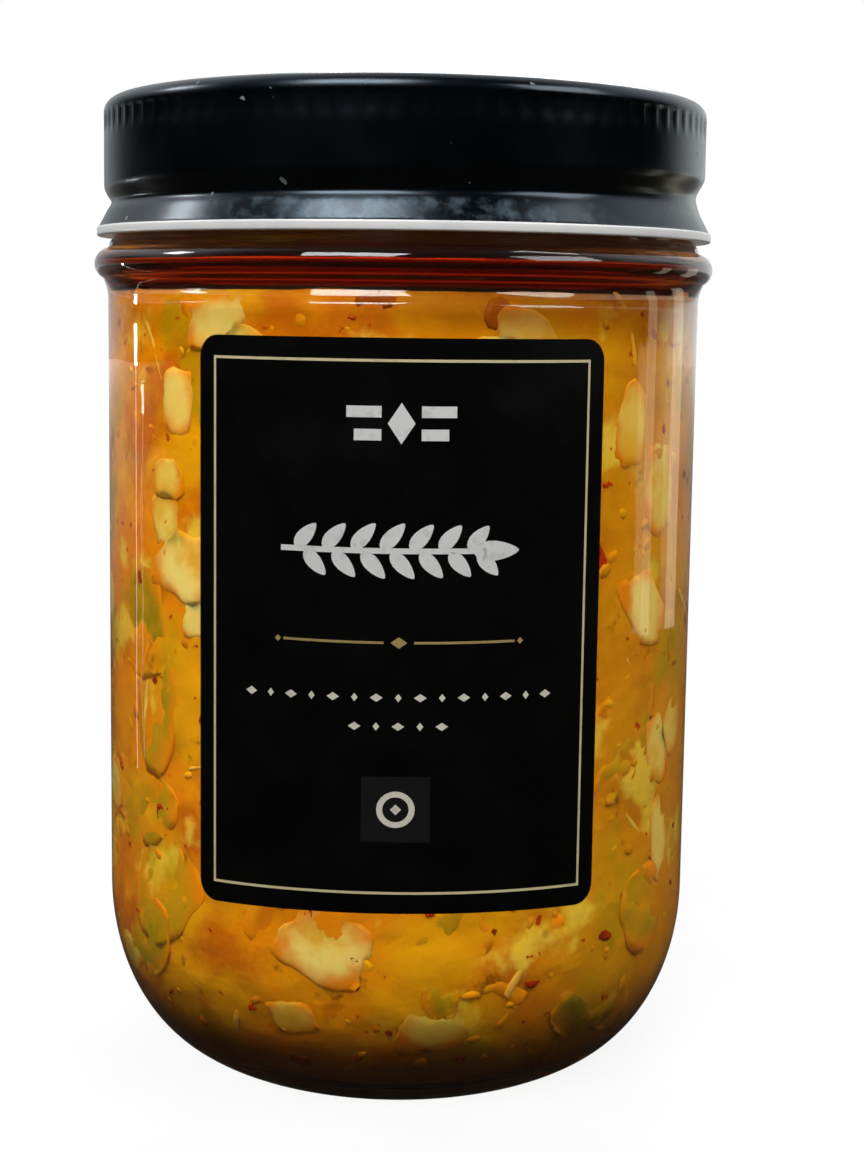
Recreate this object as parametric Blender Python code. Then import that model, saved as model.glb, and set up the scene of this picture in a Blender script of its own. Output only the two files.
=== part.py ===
# A shut preserving jar of kimchi: glass jar, metal screw lid, front label and the filling.
# Metres, +Z up. The jar stands on z = 0, its axis is Z, and the label faces -Y.
# An angle on the jar is counted from the front, positive towards +X.

import math
import random

import bmesh
import bpy
from mathutils import Matrix, Vector

# Driving dimensions of the glass
JAR_TOP = 0.1416             # top of the glass lip, under the lid
FOOT_RADIUS = 0.0281         # outside of the ring that the jar stands on
FOOT_WIDTH = 0.0024
PUSH_UP = 0.0022             # how far the middle of the base is raised
HEEL_HEIGHT = 0.0250         # where the rounded heel meets the straight wall
JAR_RADIUS = 0.0445
SHOULDER_HEIGHT = 0.1140     # top of the straight wall
WALL = 0.0028
BASE_THICKNESS = 0.0026
BEAD_HEIGHT = 0.1188         # middle of the ring bead under the lid
BEAD_RADIUS = 0.0465
BEAD_ROUND = 0.0024
NECK_RADIUS = 0.0443         # glass between the bead and the lid
FINISH_RADIUS = 0.0413       # glass wall inside the lid
MOUTH_RADIUS = 0.0386
THREAD_CREST = 0.0425
THREAD_PITCH = 0.00508
THREAD_TURNS = 1.25
THREAD_HALF = 0.0013         # half of the ridge's height at its root

# Driving dimensions of the lid
LID_TOP = 0.1430             # height of the whole jar
LID_RADIUS = 0.0450
LID_SHOULDER = 0.0026
KNURL_TOP = 0.1406
KNURL_BOTTOM = 0.1367
KNURL_COUNT = 96
KNURL_DEPTH = 0.00035
KNURL_RIB = 0.00055          # half of what stays between two flutes
CURL_HEIGHT = 0.1236         # middle of the rolled lower edge
CURL_RADIUS = 0.0461
CURL_ROUND = 0.00075
GROOVE_DEPTH = 0.00125
GROOVE_WIDTH = 0.0066
GROOVE_FRONT = 0.0045        # height of the thread groove over the curl, at the front
GROOVE_ROWS = 9              # rings of points that carry the groove
LID_BORE = 0.0430
LID_INSIDE_TOP = 0.1420
LID_PANEL = 0.0388           # flat middle of the top
LID_PANEL_DROP = 0.0005

# Driving dimensions of the label
LABEL_HALF_ANGLE = math.radians(37.5)
LABEL_BOTTOM = 0.0314
LABEL_TOP = 0.1093
LABEL_CORNER = 0.0030
LABEL_THICKNESS = 0.0004
LABEL_STRIPS = 20            # flat strips round its width

# Gap between touching pieces, and how round the turned pieces are
GAP = 0.0003
JAR_STEPS = 48
LID_STEPS = KNURL_COUNT // 2
MERGE = 1e-6

# Driving dimensions of the filling
FILL_TOP = 0.1165
CORE_STEPS = 28
CORE_INSET = 0.0022          # how far the paste lies back from the pressed pieces
HEEL_GAP = 0.0005            # more room over the rounded heel
PIECE_FLOOR = 0.0100         # no pressed piece reaches lower
PIECE_SEED = 11

# Pieces that can be told apart through the glass:
# kind, angle and height of the middle, width, height and turn (millimetres and degrees)
SHOWN_PIECES = [
    ("chunk", -35, 111, 10, 7, 10),
    ("chunk", 23, 110, 9, 7, -20),
    ("chunk", -45, 99, 7, 9, 8),
    ("chunk", -44, 77, 13, 12, -15),
    ("strip", -58, 62, 6, 20, 12),
    ("leaf", -52, 29, 11, 15, -20),
    ("chunk", 54, 70, 9, 11, 20),
    ("leaf", 50, 54, 9, 13, 15),
    ("strip", 46, 44, 5, 13, -10),
    ("strip", 60, 32, 5, 18, 14),
    ("chunk", -13, 27, 13, 9, -12),
    ("sliver", -11, 18, 9, 5, 25),
    ("leaf", 10, 28, 8, 8, 0),
    ("chunk", 9, 17, 6, 8, 12),
    ("leaf", 43, 14, 12, 9, -35),
    ("sliver", 39, 79, 7, 2.6, -50),
    ("sliver", 42, 33, 4, 2.6, 20),
    ("sliver", -52, 40, 4, 3, -20),
    ("sliver", 21, 19, 5, 4, 30),
    ("sliver", -30, 12, 6, 4, -15),
]
# The rest of the glass is covered with rows of seeded pieces
ROW_HEIGHTS = [0.016, 0.030, 0.045, 0.060, 0.075, 0.090, 0.105]
ROW_PIECES = 9
KEEP_CLEAR = 0.0105          # a seeded piece nearer than this to a shown one is left out


def millimetres(value):
    return value / 1000.0


def material(name, colour, roughness, metallic=0.0, alpha=1.0):
    made = bpy.data.materials.new(name)
    made.use_nodes = True
    shader = made.node_tree.nodes["Principled BSDF"]
    shader.inputs["Base Color"].default_value = (*colour, 1.0)
    shader.inputs["Roughness"].default_value = roughness
    shader.inputs["Metallic"].default_value = metallic
    shader.inputs["Alpha"].default_value = alpha
    return made


def finished_object(name, bm, finish, smooth_angle=35.0):
    bmesh.ops.recalc_face_normals(bm, faces=bm.faces)
    mesh = bpy.data.meshes.new(name)
    bm.to_mesh(mesh)
    bm.free()
    mesh.shade_smooth()
    mesh.set_sharp_from_angle(angle=math.radians(smooth_angle))
    mesh.materials.append(finish)
    made = bpy.data.objects.new(name, mesh)
    bpy.context.scene.collection.objects.link(made)
    return made


def spun(profile, steps):
    # A profile of (radius, height) points turned once round Z
    bm = bmesh.new()
    points = [bm.verts.new((radius, 0.0, height)) for radius, height in profile]
    edges = [bm.edges.new(pair) for pair in zip(points, points[1:])]
    bmesh.ops.spin(
        bm,
        geom=points + edges,
        cent=(0.0, 0.0, 0.0),
        axis=(0.0, 0.0, 1.0),
        angle=2.0 * math.pi,
        steps=steps,
        use_merge=True,
    )
    bmesh.ops.remove_doubles(bm, verts=bm.verts, dist=MERGE)
    return bm


def arc(centre, radius, start, end, count):
    # Points on a circle of the profile plane, angles in degrees from outwards, positive up
    points = []
    for index in range(count):
        angle = math.radians(start + (end - start) * index / (count - 1))
        along = centre[0] + radius * math.cos(angle)
        points.append((along, centre[1] + radius * math.sin(angle)))
    return points


def heel_arc(foot, floor, side, top, count):
    # A quarter of an ellipse from the foot up to the wall
    points = []
    for index in range(count):
        angle = 0.5 * math.pi * index / (count - 1)
        along = foot + (side - foot) * math.sin(angle)
        points.append((along, floor + (top - floor) * (1.0 - math.cos(angle))))
    return points


INSIDE_RADIUS = JAR_RADIUS - WALL
INSIDE_FLOOR = PUSH_UP + BASE_THICKNESS
INSIDE_HEEL = HEEL_HEIGHT + 0.001
INSIDE_FOOT = FOOT_RADIUS - 0.0014
INSIDE_SHOULDER = SHOULDER_HEIGHT - 0.001
INSIDE_NECK = BEAD_HEIGHT + 0.002


def inside_radius(height):
    # Inside of the glass between the floor and the neck
    if height >= INSIDE_SHOULDER:
        share = min(1.0, (height - INSIDE_SHOULDER) / (INSIDE_NECK - INSIDE_SHOULDER))
        return INSIDE_RADIUS + (MOUTH_RADIUS - INSIDE_RADIUS) * share
    if height >= INSIDE_HEEL:
        return INSIDE_RADIUS
    drop = min(1.0, (INSIDE_HEEL - height) / (INSIDE_HEEL - INSIDE_FLOOR))
    return INSIDE_FOOT + (INSIDE_RADIUS - INSIDE_FOOT) * math.sqrt(1.0 - drop * drop)


def jar_profile():
    outside = [(0.0, PUSH_UP), (0.012, PUSH_UP * 0.85), (0.020, PUSH_UP * 0.45)]
    outside.append((FOOT_RADIUS - FOOT_WIDTH, 0.0))
    outside += heel_arc(FOOT_RADIUS, 0.0, JAR_RADIUS, HEEL_HEIGHT, 9)
    outside.append((JAR_RADIUS, SHOULDER_HEIGHT))
    bead_middle = (BEAD_RADIUS - BEAD_ROUND, BEAD_HEIGHT)
    outside += arc(bead_middle, BEAD_ROUND, -80.0, 75.0, 7)
    outside.append((NECK_RADIUS, BEAD_HEIGHT + 0.0029))
    outside.append((NECK_RADIUS - 0.0004, BEAD_HEIGHT + 0.0037))
    outside.append((FINISH_RADIUS, BEAD_HEIGHT + 0.0060))
    lip_round = 0.5 * (FINISH_RADIUS - MOUTH_RADIUS)
    lip_middle = (FINISH_RADIUS - lip_round, JAR_TOP - lip_round)
    lip = arc(lip_middle, lip_round, 0.0, 180.0, 5)
    inside = [(MOUTH_RADIUS, INSIDE_NECK)]
    inside.append((MOUTH_RADIUS + 0.0018, BEAD_HEIGHT - 0.0016))
    inside.append((INSIDE_RADIUS, INSIDE_SHOULDER))
    heel = heel_arc(INSIDE_FOOT, INSIDE_FLOOR, INSIDE_RADIUS, INSIDE_HEEL, 8)
    inside += heel[::-1]
    inside.append((0.0, INSIDE_FLOOR + 0.0012))
    return outside + lip + inside


def thread_ridge():
    # One and a quarter turns of a small three-sided ridge that climbs round the finish
    bm = bmesh.new()
    root = FINISH_RADIUS - 0.0006
    middle = CURL_HEIGHT + GROOVE_FRONT + 0.0012
    start = middle - 0.5 * THREAD_PITCH * THREAD_TURNS
    crest = 0.2 * THREAD_HALF
    corners = [(root, -THREAD_HALF), (THREAD_CREST, -crest), (THREAD_CREST, crest), (root, THREAD_HALF)]
    points = [bm.verts.new((radius, 0.0, start + rise)) for radius, rise in corners]
    face = bm.faces.new(points)
    bmesh.ops.rotate(
        bm,
        verts=points,
        cent=(0.0, 0.0, 0.0),
        matrix=Matrix.Rotation(math.radians(-90.0) - math.pi * THREAD_TURNS, 3, "Z"),
    )
    steps = int(JAR_STEPS * THREAD_TURNS)
    bmesh.ops.spin(
        bm,
        geom=points + list(face.edges) + [face],
        cent=(0.0, 0.0, 0.0),
        axis=(0.0, 0.0, 1.0),
        dvec=(0.0, 0.0, THREAD_PITCH * THREAD_TURNS / steps),
        angle=2.0 * math.pi * THREAD_TURNS,
        steps=steps,
    )
    return bm


def apply_modifiers(target):
    graph = bpy.context.evaluated_depsgraph_get()
    mesh = bpy.data.meshes.new_from_object(target.evaluated_get(graph))
    target.modifiers.clear()
    target.data = mesh


def keep_main_body(mesh):
    # Drops loose scraps, and the walls of any hollow that the union sealed
    bm = bmesh.new()
    bm.from_mesh(mesh)
    waiting = set(bm.verts)
    bodies = []
    while waiting:
        reached = {waiting.pop()}
        front = list(reached)
        while front:
            for edge in front.pop().link_edges:
                for point in edge.verts:
                    if point in waiting:
                        waiting.remove(point)
                        reached.add(point)
                        front.append(point)
        bodies.append(reached)
    bodies.sort(key=len)
    for body in bodies[:-1]:
        bmesh.ops.delete(bm, geom=list(body), context="VERTS")
    bm.to_mesh(mesh)
    bm.free()


def fuse(target, pieces, solver):
    # One union with a collection, applied, after which the pieces' objects are removed
    gathered = bpy.data.collections.new(target.name + " pieces")
    bpy.context.scene.collection.children.link(gathered)
    for piece in pieces:
        bpy.context.scene.collection.objects.unlink(piece)
        gathered.objects.link(piece)
    union = target.modifiers.new("union", "BOOLEAN")
    union.operation = "UNION"
    union.solver = solver
    union.operand_type = "COLLECTION"
    union.collection = gathered
    apply_modifiers(target)
    keep_main_body(target.data)
    for piece in pieces:
        bpy.data.objects.remove(piece, do_unlink=True)
    bpy.data.collections.remove(gathered)


def make_jar(glass):
    jar = finished_object("jar_glass", spun(jar_profile(), JAR_STEPS), glass)
    ridge = finished_object("thread ridge", thread_ridge(), glass)
    fuse(jar, [ridge], "EXACT")
    return jar


def groove_share(turn):
    # The groove is cut at full depth for most of a turn and fades out at the back
    start, end, fade = 80.0, 440.0, 45.0
    if turn <= start or turn >= end:
        return 0.0
    edge = min(turn - start, end - turn, fade) / fade
    return 0.5 - 0.5 * math.cos(math.pi * edge)


def groove_depth(point):
    # Right-handed: the groove climbs towards +X on the front
    turn = math.degrees(math.atan2(point.y, point.x)) % 360.0
    depth = 0.0
    for angle in (turn, turn + 360.0):
        middle = CURL_HEIGHT + GROOVE_FRONT + THREAD_PITCH * (angle - 270.0) / 360.0
        away = (point.z - middle) / GROOVE_WIDTH
        if abs(away) < 0.5:
            cut = GROOVE_DEPTH * groove_share(angle) * math.cos(math.pi * away) ** 2
            depth = max(depth, cut)
    return depth


def lid_profile():
    panel_height = LID_TOP - LID_PANEL_DROP
    profile = [(0.0, panel_height), (LID_PANEL, panel_height)]
    profile.append((LID_PANEL + 2.0 * LID_PANEL_DROP, LID_TOP))
    rim_middle = (LID_RADIUS - LID_SHOULDER, LID_TOP - LID_SHOULDER)
    profile += arc(rim_middle, LID_SHOULDER, 90.0, 0.0, 4)
    profile.append((LID_RADIUS, KNURL_BOTTOM))
    groove_top = KNURL_BOTTOM - 0.0012
    groove_bottom = CURL_HEIGHT + 0.0012
    for index in range(GROOVE_ROWS):
        share = index / (GROOVE_ROWS - 1)
        height = groove_top + (groove_bottom - groove_top) * share
        profile.append((LID_RADIUS + 0.0001, height))
    curl_middle = (CURL_RADIUS - CURL_ROUND, CURL_HEIGHT)
    profile += arc(curl_middle, CURL_ROUND, 50.0, -130.0, 5)
    profile.append((LID_BORE, CURL_HEIGHT + 0.0021))
    profile.append((LID_BORE, LID_INSIDE_TOP))
    profile.append((0.0, LID_INSIDE_TOP))
    return profile


def press_groove(bm):
    for point in bm.verts:
        radius = math.hypot(point.co.x, point.co.y)
        if radius > LID_RADIUS - 0.0005 and CURL_HEIGHT + 0.0009 < point.co.z < KNURL_BOTTOM:
            share = 1.0 - groove_depth(point.co) / radius
            point.co.x *= share
            point.co.y *= share


def press_knurls(bm):
    # The band is split to the knurl count, and every face is pressed in between its ribs
    def in_band(height):
        return KNURL_BOTTOM - MERGE < height < KNURL_TOP + MERGE

    def on_outside(point):
        return math.hypot(point.co.x, point.co.y) > LID_RADIUS - 0.0005

    ring_edges = []
    for edge in bm.edges:
        first, second = edge.verts
        level = abs(first.co.z - second.co.z) < MERGE
        if level and in_band(first.co.z) and on_outside(first):
            ring_edges.append(edge)
    bmesh.ops.subdivide_edges(bm, edges=ring_edges, cuts=1)
    for point in bm.verts:
        radius = math.hypot(point.co.x, point.co.y)
        if in_band(point.co.z) and radius > LID_RADIUS - 0.0005:
            point.co.x *= LID_RADIUS / radius
            point.co.y *= LID_RADIUS / radius
    band = []
    for face in bm.faces:
        if all(in_band(point.co.z) and on_outside(point) for point in face.verts):
            band.append(face)
    bmesh.ops.recalc_face_normals(bm, faces=bm.faces)
    bmesh.ops.inset_individual(bm, faces=band, thickness=KNURL_RIB, depth=-KNURL_DEPTH)


def make_lid(enamel):
    bm = spun(lid_profile(), LID_STEPS)
    press_groove(bm)
    press_knurls(bm)
    return finished_object("screw_lid", bm, enamel, 25.0)


def make_label(paper):
    # A flat plate with round corners, cut into upright strips and wrapped on the wall
    bm = bmesh.new()
    width = 2.0 * LABEL_HALF_ANGLE * JAR_RADIUS
    height = LABEL_TOP - LABEL_BOTTOM
    bmesh.ops.create_grid(bm, x_segments=1, y_segments=1, size=0.5)
    bmesh.ops.scale(bm, vec=(width, height, 1.0), verts=bm.verts)
    bmesh.ops.bevel(
        bm,
        geom=list(bm.verts),
        offset=LABEL_CORNER,
        offset_type="OFFSET",
        segments=4,
        profile=0.5,
        affect="VERTICES",
        material=-1,
    )
    for index in range(1, LABEL_STRIPS):
        cut = width * (index / LABEL_STRIPS - 0.5)
        everything = list(bm.verts) + list(bm.edges) + list(bm.faces)
        bmesh.ops.bisect_plane(bm, geom=everything, plane_co=(cut, 0.0, 0.0), plane_no=(1.0, 0.0, 0.0))
    front = bmesh.ops.extrude_face_region(bm, geom=list(bm.faces), use_keep_orig=True)
    for item in front["geom"]:
        if isinstance(item, bmesh.types.BMVert):
            item.co.z = LABEL_THICKNESS
    for point in bm.verts:
        angle = point.co.x / JAR_RADIUS
        rise = 0.5 * (LABEL_TOP + LABEL_BOTTOM) + point.co.y
        radius = JAR_RADIUS + GAP + point.co.z
        point.co = (radius * math.sin(angle), -radius * math.cos(angle), rise)
    return finished_object("front_label", bm, paper)


def core_profile():
    floor = INSIDE_FLOOR + 0.0016
    points = [(0.0, floor)]
    heights = [floor + 0.0006, 0.0115, 0.0165, INSIDE_HEEL, 0.055, 0.085, 0.110]
    for height in heights:
        points.append((inside_radius(height) - CORE_INSET, height))
    points.append((inside_radius(FILL_TOP) - CORE_INSET - 0.0015, FILL_TOP - 0.0012))
    points.append((0.028, FILL_TOP))
    points.append((0.0, FILL_TOP - 0.0010))
    return points


def press_to_glass(points, gap):
    # Nothing reaches past a small gap inside the glass, so pieces lie flat against it
    for point in points:
        point.z = max(point.z, PIECE_FLOOR)
        room = inside_radius(point.z) - gap
        if point.z < HEEL_HEIGHT:
            room -= HEEL_GAP
        radius = math.hypot(point.x, point.y)
        if radius > room:
            point.x *= room / radius
            point.y *= room / radius


def place_piece(bm, angle, height, turn, depth, gap):
    # From a flat drawing (x across, y up, z outwards) to its place against the glass
    radius = inside_radius(height) - depth
    spin_flat = Matrix.Rotation(math.radians(turn), 4, "Z")
    stand_up = Matrix.Rotation(math.radians(90.0), 4, "X")
    outwards = Matrix.Translation((0.0, -radius, height))
    round_jar = Matrix.Rotation(math.radians(angle), 4, "Z")
    bmesh.ops.transform(bm, matrix=round_jar @ outwards @ stand_up @ spin_flat, verts=bm.verts)
    press_to_glass([point.co for point in bm.verts], gap)


def chunk(width, height, rng):
    # A lumpy block of stem or radish
    bm = bmesh.new()
    bmesh.ops.create_icosphere(bm, subdivisions=2, radius=0.5)
    lumps = [rng.uniform(0.82, 1.15) for _ in bm.verts]
    for point, lump in zip(bm.verts, lumps):
        boxy = max(abs(point.co.x), abs(point.co.y), abs(point.co.z)) * 2.0
        point.co *= lump / boxy ** 0.55
    bmesh.ops.scale(bm, vec=(width, height, 0.0065), verts=bm.verts)
    return bm


def sliver(width, height, rng):
    # A small faceted bit of chilli or carrot
    bm = bmesh.new()
    bmesh.ops.create_icosphere(bm, subdivisions=1, radius=0.5)
    for point in bm.verts:
        point.co *= rng.uniform(0.85, 1.15)
    bmesh.ops.scale(bm, vec=(width, height, 0.0050), verts=bm.verts)
    return bm


def plate(width, height, thickness, wave, rng):
    # A thin wavy solid with both faces split alike
    bm = bmesh.new()
    bmesh.ops.create_grid(bm, x_segments=2, y_segments=3, size=0.5)
    bmesh.ops.scale(bm, vec=(width, height, 1.0), verts=bm.verts)
    bmesh.ops.triangulate(bm, faces=bm.faces)
    phase = rng.uniform(0.0, 6.0)
    for point in bm.verts:
        share = point.co.y / height
        point.co.x *= 1.0 - 0.8 * share * share + rng.uniform(-0.08, 0.08)
        point.co.z = wave * math.sin(5.0 * share + 300.0 * point.co.x + phase) - 0.5 * thickness
    back = bmesh.ops.extrude_face_region(bm, geom=list(bm.faces), use_keep_orig=True)
    for item in back["geom"]:
        if isinstance(item, bmesh.types.BMVert):
            item.co.z += thickness
    return bm


def make_piece(kind, angle, height, width, tall, turn, rng):
    if kind == "chunk":
        bm = chunk(width, tall, rng)
        depth = 0.0026
    elif kind == "sliver":
        bm = sliver(width, tall, rng)
        depth = 0.0024
    elif kind == "leaf":
        bm = plate(width, tall, 0.0026, 0.0003, rng)
        depth = 0.0018
    else:
        bm = plate(width, tall, 0.0030, 0.0002, rng)
        depth = 0.0020
    place_piece(bm, angle, height, turn, depth, GAP + rng.uniform(0.0002, 0.0006))
    return bm


def seeded_pieces(rng):
    # Rows of pieces round the jar
    kinds = ["chunk", "sliver", "leaf", "sliver", "strip", "sliver"]
    sizes = {"chunk": (9.0, 8.0), "sliver": (6.0, 3.5), "leaf": (8.0, 12.0), "strip": (4.5, 14.0)}
    seeded = []
    for row, row_height in enumerate(ROW_HEIGHTS):
        for column in range(ROW_PIECES):
            angle = 360.0 * (column + 0.5 * (row % 2)) / ROW_PIECES + rng.uniform(-9.0, 9.0)
            height = row_height + rng.uniform(-0.004, 0.004)
            kind = kinds[(column + 2 * row) % len(kinds)]
            width, tall = sizes[kind]
            grow = rng.uniform(0.8, 1.25)
            turn = rng.uniform(-60.0, 60.0)
            size = (millimetres(width * grow), millimetres(tall * grow))
            seeded.append((kind, angle, height, *size, turn))
    return seeded


def on_glass(angle, height):
    radius = inside_radius(height)
    around = math.radians(angle)
    return Vector((radius * math.sin(around), -radius * math.cos(around), height))


def make_kimchi(paste):
    rng = random.Random(PIECE_SEED)
    core = finished_object("kimchi", spun(core_profile(), CORE_STEPS), paste, 50.0)
    wanted = []
    for kind, angle, height, width, tall, turn in SHOWN_PIECES:
        size = (millimetres(width), millimetres(tall))
        wanted.append((kind, angle, millimetres(height), *size, turn))
    shown_places = [on_glass(item[1], item[2]) for item in wanted]
    for item in seeded_pieces(rng):
        place = on_glass(item[1], item[2])
        if all((place - shown).length > KEEP_CLEAR for shown in shown_places):
            wanted.append(item)
    pieces = []
    for index, (kind, angle, height, width, tall, turn) in enumerate(wanted):
        bm = make_piece(kind, angle, height, width, tall, turn, rng)
        pieces.append(finished_object("piece %d" % index, bm, paste, 50.0))
    fuse(core, pieces, "MANIFOLD")
    return core


def main():
    for item in list(bpy.data.objects):
        bpy.data.objects.remove(item, do_unlink=True)
    glass = material("clear glass", (0.86, 0.92, 0.88), 0.03, alpha=0.35)
    enamel = material("black enamel", (0.012, 0.013, 0.015), 0.35, metallic=0.2)
    paper = material("black label", (0.010, 0.010, 0.011), 0.45)
    paste = material("kimchi", (0.62, 0.24, 0.05), 0.40)
    make_jar(glass)
    make_lid(enamel)
    make_label(paper)
    make_kimchi(paste)


main()
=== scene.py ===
import math
import random

import bmesh
import bpy
from mathutils import Matrix, Vector, noise


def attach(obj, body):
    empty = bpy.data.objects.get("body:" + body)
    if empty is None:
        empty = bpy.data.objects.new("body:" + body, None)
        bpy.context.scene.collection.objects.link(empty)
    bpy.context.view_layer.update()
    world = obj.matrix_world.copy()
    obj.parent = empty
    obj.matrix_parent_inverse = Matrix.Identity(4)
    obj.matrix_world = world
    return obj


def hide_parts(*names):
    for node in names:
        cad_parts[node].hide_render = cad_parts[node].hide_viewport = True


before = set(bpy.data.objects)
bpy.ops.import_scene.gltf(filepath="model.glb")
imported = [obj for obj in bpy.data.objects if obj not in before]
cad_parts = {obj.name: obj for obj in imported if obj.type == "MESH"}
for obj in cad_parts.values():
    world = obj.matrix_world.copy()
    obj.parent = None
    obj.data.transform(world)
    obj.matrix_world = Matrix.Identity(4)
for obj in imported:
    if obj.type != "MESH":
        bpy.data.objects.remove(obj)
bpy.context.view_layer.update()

# A shut jar of kimchi. Metres, +Z up, label towards -Y.
# A place on the jar is an angle from the front in degrees, positive to the right, and a height.
mm = 0.001


# Small helpers for meshes

def linkObject(name, data):
    made = bpy.data.objects.new(name, data)
    bpy.context.scene.collection.objects.link(made)
    return made


def finishMesh(name, bm, finishes):
    mesh = bpy.data.meshes.new(name)
    bm.to_mesh(mesh)
    bm.free()
    for finish in finishes:
        mesh.materials.append(finish)
    return linkObject(name, mesh)


def finishPiece(name, bm, finishes, smoothAngle=None):
    # Turns a bmesh into an object that rides with the jar
    bmesh.ops.recalc_face_normals(bm, faces=bm.faces)
    piece = finishMesh(name, bm, finishes)
    piece.data.shade_smooth()
    if smoothAngle is not None:
        piece.data.set_sharp_from_angle(angle=math.radians(smoothAngle))
    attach(piece, "root")
    return piece


def spinProfile(points, steps):
    # A profile of (radius, height) points spun once round Z
    bm = bmesh.new()
    verts = [bm.verts.new((radius, 0.0, height)) for radius, height in points]
    edges = [bm.edges.new(pair) for pair in zip(verts, verts[1:])]
    bmesh.ops.spin(bm, geom=verts + edges, cent=(0, 0, 0), axis=(0, 0, 1),
                   angle=2 * math.pi, steps=steps, use_merge=True)
    bmesh.ops.remove_doubles(bm, verts=bm.verts, dist=1e-6)
    return bm


def arcPoints(centre, radius, start, end, count):
    # Angles in degrees from outwards, positive up
    points = []
    for index in range(count):
        angle = math.radians(start + (end - start) * index / (count - 1))
        points.append((centre[0] + radius * math.cos(angle), centre[1] + radius * math.sin(angle)))
    return points


def heelPoints(foot, floor, side, top, count):
    # A quarter of an ellipse from the foot up to the wall
    points = []
    for index in range(count):
        angle = 0.5 * math.pi * index / (count - 1)
        points.append((foot + (side - foot) * math.sin(angle),
                       floor + (top - floor) * (1 - math.cos(angle))))
    return points


def easeStep(value, low, high):
    # 0 to 1 as value goes from low to high, softly
    share = min(1.0, max(0.0, (value - low) / (high - low)))
    return share * share * (3 - 2 * share)


# Small helpers for materials

def setInputs(tree, node, inputs):
    # Inputs are plain values, colours without their alpha, or other nodes' sockets
    for name, value in inputs.items():
        socket = node.inputs[name]
        if isinstance(value, bpy.types.NodeSocket):
            tree.links.new(value, socket)
        elif socket.type == "RGBA":
            socket.default_value = (*value, 1.0)
        else:
            socket.default_value = value


def addNode(tree, kind, inputs=None, **settings):
    node = tree.nodes.new("ShaderNode" + kind)
    for name, value in settings.items():
        setattr(node, name, value)
    setInputs(tree, node, inputs or {})
    return node


def newFinish(name, inputs):
    # A material with plain values on its shader
    finish = bpy.data.materials.new(name)
    finish.use_nodes = True
    tree = finish.node_tree
    shader = tree.nodes["Principled BSDF"]
    setInputs(tree, shader, inputs)
    return finish, tree, shader, addNode(tree, "TexCoord").outputs["Object"]


def newGroup(name, inputs, outputs):
    group = bpy.data.node_groups.new(name, "ShaderNodeTree")
    for label, kind, value in inputs:
        socket = group.interface.new_socket(label, in_out="INPUT", socket_type="NodeSocket" + kind)
        if value is not None:
            socket.default_value = value
    for label, kind in outputs:
        group.interface.new_socket(label, in_out="OUTPUT", socket_type="NodeSocket" + kind)
    return group, group.nodes.new("NodeGroupInput"), group.nodes.new("NodeGroupOutput")


def mathNode(tree, operation, first, second=0.0, clamp=False):
    return addNode(tree, "Math", {0: first, 1: second}, operation=operation,
                   use_clamp=clamp).outputs[0]


def mixColours(tree, share, first, second):
    return addNode(tree, "Mix", {0: share, 6: first, 7: second},
                   data_type="RGBA").outputs[2]


def addRamp(tree, value, low, high, top=1.0):
    # 0 to top as value goes from low to high, softly
    return addNode(tree, "MapRange", {
        "Value": value, "From Min": low, "From Max": high, "To Max": top},
        interpolation_type="SMOOTHSTEP").outputs[0]


def makeSpotsGroup():
    # Soft spots of one colour over another, with the spots' mask
    group, start, end = newGroup(
        "spots",
        [("Vector", "Vector", None), ("Under", "Color", None), ("Over", "Color", None),
         ("Scale", "Float", 100.0), ("Detail", "Float", 3.0), ("Low", "Float", 0.45),
         ("High", "Float", 0.6), ("Amount", "Float", 1.0)],
        [("Colour", "Color"), ("Mask", "Float")])
    cloud = addNode(group, "TexNoise", {
        "Vector": start.outputs["Vector"], "Scale": start.outputs["Scale"],
        "Detail": start.outputs["Detail"], "Roughness": 0.55})
    edge = addRamp(group, cloud.outputs["Fac"], start.outputs["Low"], start.outputs["High"])
    mask = mathNode(group, "MULTIPLY", edge, start.outputs["Amount"])
    mixed = mixColours(group, mask, start.outputs["Under"], start.outputs["Over"])
    group.links.new(mixed, end.inputs["Colour"])
    group.links.new(mask, end.inputs["Mask"])
    return group


def makePlaceGroup():
    # The angle round the jar in degrees and the height in millimetres
    group, start, end = newGroup("jarPlace", [("Vector", "Vector", None)],
                                 [("Angle", "Float"), ("Height", "Float")])
    parts = addNode(group, "SeparateXYZ", {"Vector": start.outputs["Vector"]})
    front = mathNode(group, "MULTIPLY", parts.outputs["Y"], -1.0)
    around = mathNode(group, "ARCTAN2", parts.outputs["X"], front)
    group.links.new(mathNode(group, "DEGREES", around), end.inputs["Angle"])
    group.links.new(mathNode(group, "MULTIPLY", parts.outputs["Z"], 1000.0), end.inputs["Height"])
    return group


spotsGroup = makeSpotsGroup()
placeGroup = makePlaceGroup()


def addSpots(tree, vector, under, over, scale, low, high, amount=1.0, detail=3.0, shift=0.0):
    # Shifted so that two layers of one scale don't lie on each other
    moved = addNode(tree, "Mapping", {"Vector": vector, "Location": (shift, shift, -shift)})
    node = addNode(tree, "Group", {
        "Vector": moved.outputs[0], "Under": under, "Over": over, "Scale": scale, "Low": low,
        "High": high, "Amount": amount, "Detail": detail}, node_tree=spotsGroup)
    return node.outputs["Colour"], node.outputs["Mask"]


def layerSpots(tree, vector, colour, layers):
    # Each layer is a colour with the numbers that addSpots takes
    for over, *numbers in layers:
        colour, _ = addSpots(tree, vector, colour, over, *numbers)
    return colour


def makeCoat(name, inputs, under, over, *numbers):
    # A material of one colour with soft spots of another
    finish, tree, shader, place = newFinish(name, inputs)
    colour, _ = addSpots(tree, place, under, over, *numbers)
    setInputs(tree, shader, {"Base Color": colour})
    return finish


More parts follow.
